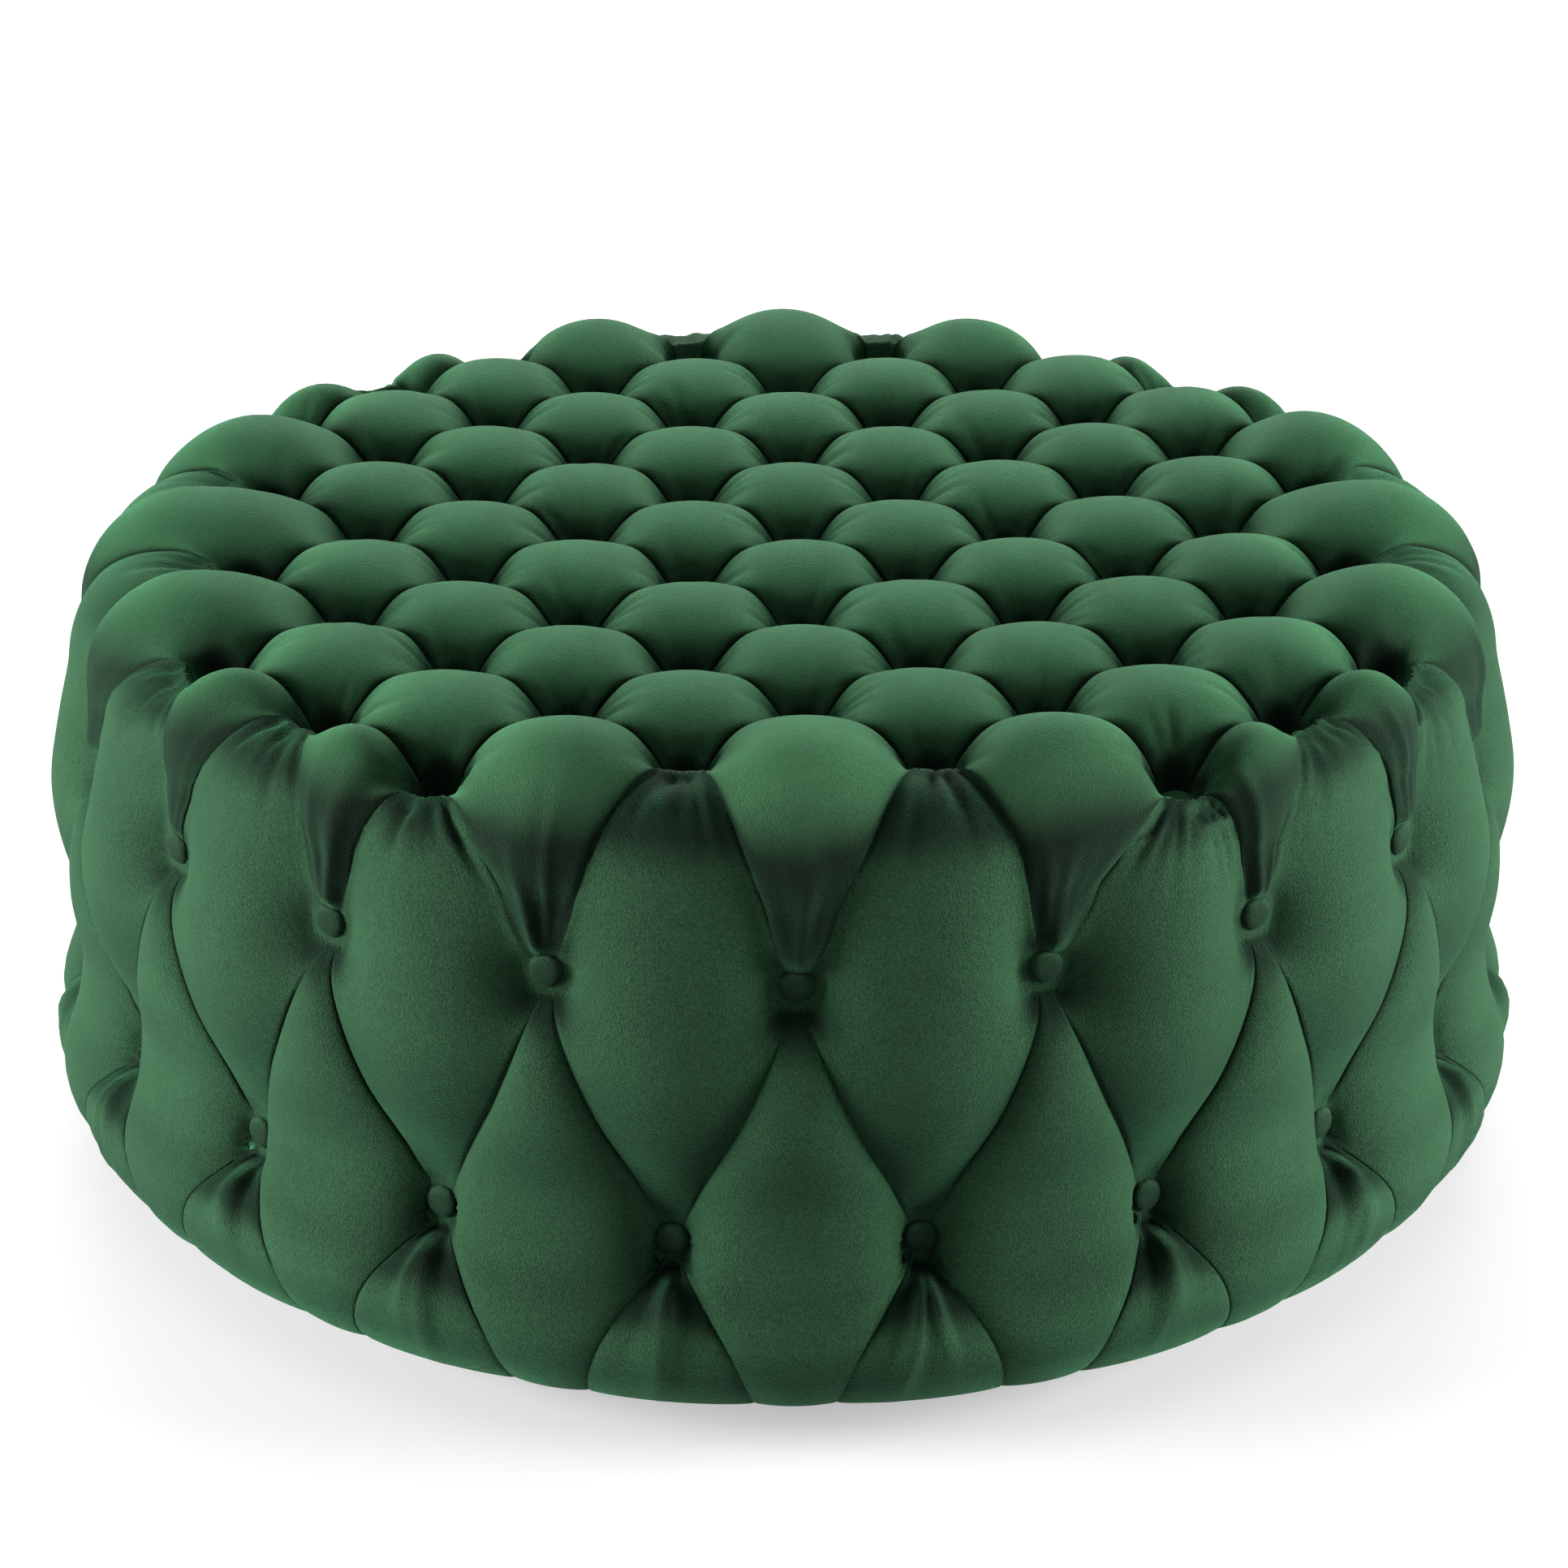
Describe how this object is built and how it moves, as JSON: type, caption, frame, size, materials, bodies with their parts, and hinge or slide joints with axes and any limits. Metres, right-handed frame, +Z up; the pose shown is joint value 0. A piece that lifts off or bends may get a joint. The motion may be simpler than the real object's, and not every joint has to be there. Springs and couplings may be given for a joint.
{
  "type": "round tufted ottoman",
  "caption": "Round velvet ottoman with deep diamond button tufting over its top and side, on low hidden feet.",
  "frame": {"origin": "centre of the floor contact plane, on the vertical axis of the drum", "axes": "+Z up; -Y is the front that the shown side faces; +X to the right when seen from the front"},
  "size_m": [1.0098, 1.0098, 0.43],
  "materials": {
    "velvet": "matte",
    "button_velvet": "matte",
    "fibre_filling": "matte",
    "foam": "matte",
    "dust_cloth": "matte",
    "twine": "matte",
    "plywood": "matte",
    "softwood": "matte",
    "hardboard": "matte",
    "toggle": "matte",
    "foot_plastic": "satin",
    "screw_steel": "satin",
    "staple_wire": "satin"
  },
  "bodies": {
    "root": {"base_rail_cross": "softwood", "base_rail_long": "softwood", "base_ring": "plywood", "base_screws": "screw_steel", "deck_batten_left": "softwood", "deck_batten_right": "softwood", "deck_screws": "screw_steel", "dust_cover": "dust_cloth", "dust_cover_staples": "staple_wire", "foot_1": "foot_plastic", "foot_2": "foot_plastic", "foot_3": "foot_plastic", "foot_4": "foot_plastic", "foot_screws": "screw_steel", "frame_post_1": "softwood", "frame_post_2": "softwood", "frame_post_3": "softwood", "frame_post_4": "softwood", "frame_post_5": "softwood", "frame_post_6": "softwood", "frame_post_7": "softwood", "frame_post_8": "softwood", "hem_staples": "staple_wire", "lower_side_buttons": "button_velvet", "lower_side_toggles": "toggle", "lower_side_twines": "twine", "side_cover": "velvet", "side_fill": "fibre_filling", "side_foam": "foam", "side_panel_1": "hardboard", "side_panel_2": "hardboard", "side_panel_3": "hardboard", "side_panel_4": "hardboard", "side_panel_staples": "staple_wire", "top_buttons": "button_velvet", "top_cover": "velvet", "top_deck": "plywood", "top_fill": "fibre_filling", "top_foam": "foam", "top_toggles": "toggle", "top_twines": "twine", "upper_side_buttons": "button_velvet", "upper_side_toggles": "toggle", "upper_side_twines": "twine"}
  },
  "joints": []
}
